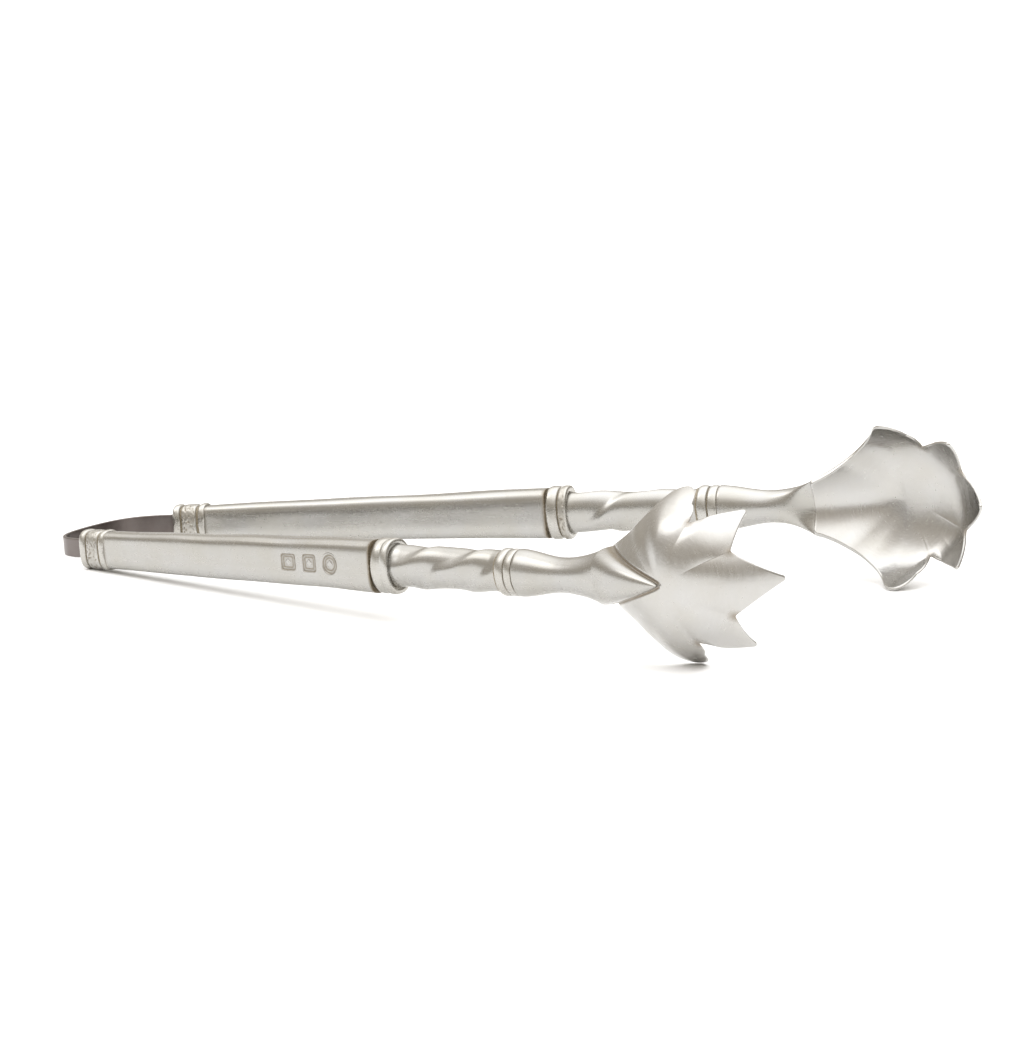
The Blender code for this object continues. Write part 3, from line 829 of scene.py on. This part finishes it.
def half_strip(side):
    """Half of the strip, from the bow's crown to its end in the far (1) or near (-1) grip."""
    path = [bow_point(i / BOW_STEPS) for i in range(BOW_STEPS + 1)]
    along = np.array([math.cos(ARM_ANGLE), math.sin(ARM_ANGLE)])
    path += [path[-1] + along * STRIP_LEG * share for share in np.linspace(0, 1, 14)[1:]]
    path = np.array(path)
    direction = np.gradient(path, axis=0)
    direction[0] = (0, 1)
    direction /= np.linalg.norm(direction, axis=1, keepdims=True)
    across = np.column_stack([direction[:, 1], -direction[:, 0]])
    travel = np.concatenate([[0], np.cumsum(np.linalg.norm(np.diff(path, axis=0), axis=1))])
    outline = rounded_box(STRIP_THICKNESS / 2, STRIP_WIDTH / 2, STRIP_ROUNDING, corner=6, tall=12, short=3)
    rings, grain, tone = [], [], []
    for spot, normal, distance in zip(path, across, travel):
        plan = spot + normal * outline[:, :1]
        ring = np.column_stack([plan[:, 0], side * plan[:, 1], outline[:, 1]])
        lengthwise = np.full(len(ring), STRIP_GRAIN * distance)
        # Painted shade darkens the strip as it nears the grip's mouth
        near_mouth = float(smooth(travel[BOW_STEPS] - MOUTH_SHADE, travel[BOW_STEPS], distance))
        rings.append(ring)
        grain.append(np.column_stack([lengthwise, outline[:, 0], outline[:, 1] + side]))
        tone.append(np.full(len(ring), STRIP_ENTRY_SHADE * near_mouth))
    return tube(np.array(rings), np.array(tone), np.array(grain))


# ------------------------------------------------------------------ materials

class Graph:
    """A material's node tree, wired by short calls."""

    def __init__(self, name):
        self.material = bpy.data.materials.new(name)
        self.material.use_nodes = True
        self.tree = self.material.node_tree
        self.shader = self.tree.nodes["Principled BSDF"]

    def node(self, kind, sockets=None, **settings):
        made = self.tree.nodes.new(kind)
        for key, value in settings.items():
            setattr(made, key, value)
        for key, value in (sockets or {}).items():
            self.put(made.inputs[key], value)
        return made

    def put(self, socket, value):
        if isinstance(value, bpy.types.NodeSocket):
            self.tree.links.new(value, socket)
        else:
            socket.default_value = value

    def attribute(self, name):
        return self.node("ShaderNodeAttribute", attribute_name=name)

    def noise(self, vector, scale, detail=3.0, roughness=0.55):
        sockets = {"Vector": vector, "Scale": scale, "Detail": detail, "Roughness": roughness}
        return self.node("ShaderNodeTexNoise", sockets).outputs["Fac"]

    def remap(self, value, low, high, out_low=0.0, out_high=1.0):
        made = self.node("ShaderNodeMapRange", {"Value": value, "From Min": low, "From Max": high,
                                                "To Min": out_low, "To Max": out_high})
        return made.outputs["Result"]

    def maths(self, operation, a, b):
        made = self.node("ShaderNodeMath", operation=operation)
        self.put(made.inputs[0], a)
        self.put(made.inputs[1], b)
        return made.outputs[0]

    def add(self, a, b):
        return self.maths("ADD", a, b)

    def times(self, a, b):
        return self.maths("MULTIPLY", a, b)

    def blend(self, share, a, b, mode="MIX"):
        made = self.node("ShaderNodeMix", data_type="RGBA", blend_type=mode)
        self.put(made.inputs["Factor"], share)
        self.put(made.inputs[6], a)
        self.put(made.inputs[7], b)
        return made.outputs[2]


# Noise scales, per mm, and how strongly each kind of mark shows
CLOUD_SCALE = 0.11
MOTTLE_SCALE = 0.8
PIT_SCALE = 2.1
SPECK_SCALE = 3.2
DENT_SCALE = 0.35
DENT_HEIGHT = 0.022
SPECK_HEIGHT = 0.12
PIT_STAIN = 0.12
STREAK_SHADES = (0.965, 1.02)
STAIN_ROUGHNESS = 0.26
STAIN_METALLIC = 0.55


def cast_metal(name, light, warm, brown, roughness, streak_scale, streak_height, pit_height):
    """Satin cast metal: cloudy tone, brushed streaks, small pits, and brown patina and painted shade where
    the mesh says so.
    """
    g = Graph(name)
    lay = g.attribute("lay").outputs["Vector"]
    grain = g.attribute("grain").outputs["Vector"]
    # The per-vertex attribute holds real patina in grooves and painted shade in mouths, bores and where the
    # strip enters the grip
    patina_and_shade = g.attribute("patina_and_shade").outputs["Fac"]
    cloud = g.remap(g.noise(lay, CLOUD_SCALE, 3.0), 0.35, 0.65)
    mottle = g.noise(lay, MOTTLE_SCALE, 4.0, 0.6)
    streak = g.noise(grain, streak_scale, 4.0, 0.6)
    pit = g.remap(g.noise(lay, PIT_SCALE, 2.0, 0.5), 0.72, 0.82)
    speck = g.noise(lay, SPECK_SCALE, 4.0, 0.7)
    dent = g.noise(lay, DENT_SCALE, 2.0, 0.5)

    tint = g.remap(streak, 0.3, 0.7, *STREAK_SHADES)
    shade = g.node("ShaderNodeCombineColor", {"Red": tint, "Green": tint, "Blue": tint})
    tinted = g.blend(1.0, g.blend(cloud, (*light, 1), (*warm, 1)), shade.outputs["Color"], "MULTIPLY")
    broken = g.times(patina_and_shade, g.remap(speck, 0.3, 0.7, 0.55, 1.25))
    stain_and_shade = g.remap(g.maths("MAXIMUM", broken, g.times(pit, PIT_STAIN)), 0.05, 0.85)
    g.put(g.shader.inputs["Base Color"], g.blend(stain_and_shade, tinted, (*brown, 1)))

    rough = g.add(g.remap(mottle, 0.3, 0.7, roughness - 0.015, roughness + 0.015),
                  g.remap(streak, 0.3, 0.7, -0.02, 0.025))
    g.put(g.shader.inputs["Roughness"], g.add(rough, g.times(stain_and_shade, STAIN_ROUGHNESS)))
    g.put(g.shader.inputs["Metallic"], g.remap(stain_and_shade, 0.0, 1.0, 1.0, STAIN_METALLIC))

    height = g.add(g.times(streak, streak_height), g.times(dent, DENT_HEIGHT))
    height = g.maths("SUBTRACT", height, g.times(pit, pit_height))
    height = g.add(height, g.times(g.times(speck, patina_and_shade), SPECK_HEIGHT))
    bump = g.node("ShaderNodeBump", {"Height": height, "Strength": 1.0, "Distance": MM})
    g.put(g.shader.inputs["Normal"], bump.outputs["Normal"])
    return g.material


# Each skin: its material's name, light, warm, and patina-and-painted-shade colours, roughness,
# streaks' scale and height, and pits' depth
SKINS = {
    "pewter": ("satin_pewter", (0.412, 0.405, 0.391), (0.398, 0.387, 0.36), (0.15, 0.112, 0.062),
               0.26, 1.5, 0.002, 0.004),
    "band": ("banded_pewter", (0.455, 0.447, 0.425), (0.42, 0.404, 0.37), (0.18, 0.14, 0.08),
             0.27, 1.2, 0.003, 0.01),
    "cup": ("cup_pewter", (0.478, 0.471, 0.458), (0.462, 0.45, 0.426), (0.165, 0.12, 0.068),
            0.25, 2.2, 0.002, 0.003),
    "steel": ("spring_steel_skin", (0.165, 0.145, 0.137), (0.135, 0.114, 0.106), (0.04, 0.027, 0.02),
              0.34, 3.0, 0.012, 0.004),
    "inner": ("hidden_metal", (0.30, 0.28, 0.25), (0.24, 0.22, 0.19), (0.08, 0.06, 0.04),
              0.45, 2.0, 0.03, 0.03),
}


# ------------------------------------------------------------------ assembly
# Seeds of the two arms' casting marks
NEAR_SEED = 11
FAR_SEED = 29


def build_arm(side, prefix, skins):
    place = arm_frame(side)
    seed = NEAR_SEED if side < 0 else FAR_SEED

    def add(name, skin, material):
        node = prefix + "_" + name
        make_piece(node + "_cast", skin, place, skins[material], prefix + "_arm", [node])

    add("end_ferrule", end_ferrule(seed), "band")
    add("handle", handle(seed + 1, side < 0), "pewter")
    add("handle_collar", collar(HANDLE_END - 0.4, COLLAR_END, HANDLE_COLLAR_BANDS, HANDLE_WIDE,
                                HANDLE_COLLAR_POWER, seed + 2, holds_stem=True), "band")
    add("twisted_stem", twisted_stem(seed + 3), "pewter")
    add("stem_collar", collar(STEM_END - 0.2, STEM_COLLAR_END, STEM_COLLAR_BANDS, STEM_COLLAR,
                              STEM_COLLAR_POWER, seed + 4), "band")
    add("neck", neck(seed + 5), "pewter")
    add("cup", cup(seed + 6), "cup")
    for name in ("spring_anchor", "anchor_pin"):
        item = frame["nodes"][prefix + "_" + name]
        for index in range(len(item.material_slots)):
            item.material_slots[index].material = skins["inner"]


def build_strip(side, prefix, skins):
    """One half of the strip, whose bend runs from the bow's crown to the ferrule."""
    piece = make_piece(prefix + "_spring_half", half_strip(side), tongs_frame(), skins["steel"], None,
                       ["spring_strip"])
    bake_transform(piece)


# ------------------------------------------------------------------ stage, light and camera
TABLE_COLOUR = 0.95
TABLE_ROUGHNESS = 0.9
TABLE_SIDES = 48
TABLE_REACHES = (0.5, 2.0, 14.0)

# The room's light from the horizon (0) to overhead (1)
SKY = ((0.0, (0.86, 0.835, 0.79)), (0.14, (0.62, 0.57, 0.49)), (0.40, (0.92, 0.865, 0.79)),
       (0.72, (2.0, 1.97, 1.92)), (1.0, (2.7, 2.73, 2.78)))
# One direction is darker: towards it, the cosines where the dark starts and is full, and both strengths
DARK_SIDE = (0.78, 0.52, 0.35)
DARK_COSINES = (0.72, 0.93)
DARK_STRENGTHS = (0.95, 0.50)

CAMERA_PLACE = Vector((0.652, -0.995, 0.240))
CAMERA_AIM = Vector((0.012, 0.004, 0.018))
CAMERA_ROLL = math.radians(1.17)
CAMERA_LENS = 158.0
CAMERA_SENSOR = 36.0


def table_material():
    """Pale and matt, with a hardly visible cloudiness."""
    g = Graph("pale_table")
    cloud = g.noise(g.node("ShaderNodeTexCoord").outputs["Object"], 2.0)
    pale = (TABLE_COLOUR, TABLE_COLOUR, TABLE_COLOUR, 1)
    g.put(g.shader.inputs["Base Color"],
          g.blend(g.remap(cloud, 0.3, 0.7), pale, tuple(level * 0.985 for level in pale)))
    g.put(g.shader.inputs["Roughness"], TABLE_ROUGHNESS)
    return g.material


def build_stage():
    """A wide pale table top, in rings so that it stays even in every direction."""
    verts, faces = [(0.0, 0.0, 0.0)], []
    for reach in TABLE_REACHES:
        for i in range(TABLE_SIDES):
            turn = 2 * math.pi * i / TABLE_SIDES
            verts.append((reach * math.cos(turn), reach * math.sin(turn), 0.0))
    for i in range(TABLE_SIDES):
        k = (i + 1) % TABLE_SIDES
        faces.append((0, 1 + i, 1 + k))
        for ring in range(len(TABLE_REACHES) - 1):
            first, after = 1 + ring * TABLE_SIDES, 1 + (ring + 1) * TABLE_SIDES
            faces.append((first + i, after + i, after + k, first + k))
    mesh = bpy.data.meshes.new("table_top")
    mesh.from_pydata(verts, [], faces)
    mesh.materials.append(table_material())
    item = bpy.data.objects.new("table_top", mesh)
    bpy.context.scene.collection.objects.link(item)


def build_world():
    """A soft room: warm and dimmer at eye level, bright overhead, darker on the right behind the tongs."""
    world = bpy.data.worlds.new("soft_room")
    bpy.context.scene.world = world
    world.use_nodes = True
    tree = world.node_tree
    coords = tree.nodes.new("ShaderNodeTexCoord")
    split = tree.nodes.new("ShaderNodeSeparateXYZ")
    ramp = tree.nodes.new("ShaderNodeValToRGB")
    tree.links.new(coords.outputs["Generated"], split.inputs[0])
    tree.links.new(split.outputs["Z"], ramp.inputs[0])
    stops = ramp.color_ramp.elements
    stops[0].position, stops[0].color = SKY[0][0], (*SKY[0][1], 1)
    stops[1].position, stops[1].color = SKY[-1][0], (*SKY[-1][1], 1)
    for place, colour in SKY[1:-1]:
        stops.new(place).color = (*colour, 1)
    facing = tree.nodes.new("ShaderNodeVectorMath")
    facing.operation = "DOT_PRODUCT"
    tree.links.new(coords.outputs["Generated"], facing.inputs[0])
    facing.inputs[1].default_value = Vector(DARK_SIDE).normalized()
    shade = tree.nodes.new("ShaderNodeMapRange")
    shade.interpolation_type = "SMOOTHSTEP"
    for socket, value in zip(("From Min", "From Max", "To Min", "To Max"), DARK_COSINES + DARK_STRENGTHS):
        shade.inputs[socket].default_value = value
    tree.links.new(facing.outputs["Value"], shade.inputs["Value"])
    tree.links.new(ramp.outputs[0], tree.nodes["Background"].inputs[0])
    tree.links.new(shade.outputs["Result"], tree.nodes["Background"].inputs[1])


def sun(name, toward, strength, angle):
    """A far, wide lamp, even over the whole table."""
    light = bpy.data.lights.new(name, "SUN")
    light.energy = strength
    light.angle = math.radians(angle)
    item = bpy.data.objects.new(name, light)
    item.rotation_euler = Vector(toward).to_track_quat("Z", "Y").to_euler()
    bpy.context.scene.collection.objects.link(item)


def build_camera():
    data = bpy.data.cameras.new("camera")
    data.lens = CAMERA_LENS
    data.sensor_width = CAMERA_SENSOR
    data.clip_start = 0.05
    item = bpy.data.objects.new("camera", data)
    look = (CAMERA_AIM - CAMERA_PLACE).to_track_quat("-Z", "Y").to_matrix().to_4x4()
    item.matrix_world = Matrix.Translation(CAMERA_PLACE) @ look @ Matrix.Rotation(-CAMERA_ROLL, 4, "Z")
    bpy.context.scene.collection.objects.link(item)
    bpy.context.scene.camera = item


skins = {kind: cast_metal(*looks) for kind, looks in SKINS.items()}
for side, prefix in ((-1, "near"), (1, "far")):
    build_arm(side, prefix, skins)
    build_strip(side, prefix, skins)

build_stage()
build_world()
sun("overhead_soft", (0.05, -0.10, 1.0), 0.4, 100)
sun("left_soft", (-0.75, -0.5, 0.75), 0.3, 30)
build_camera()
bpy.context.scene.view_settings.view_transform = "Standard"
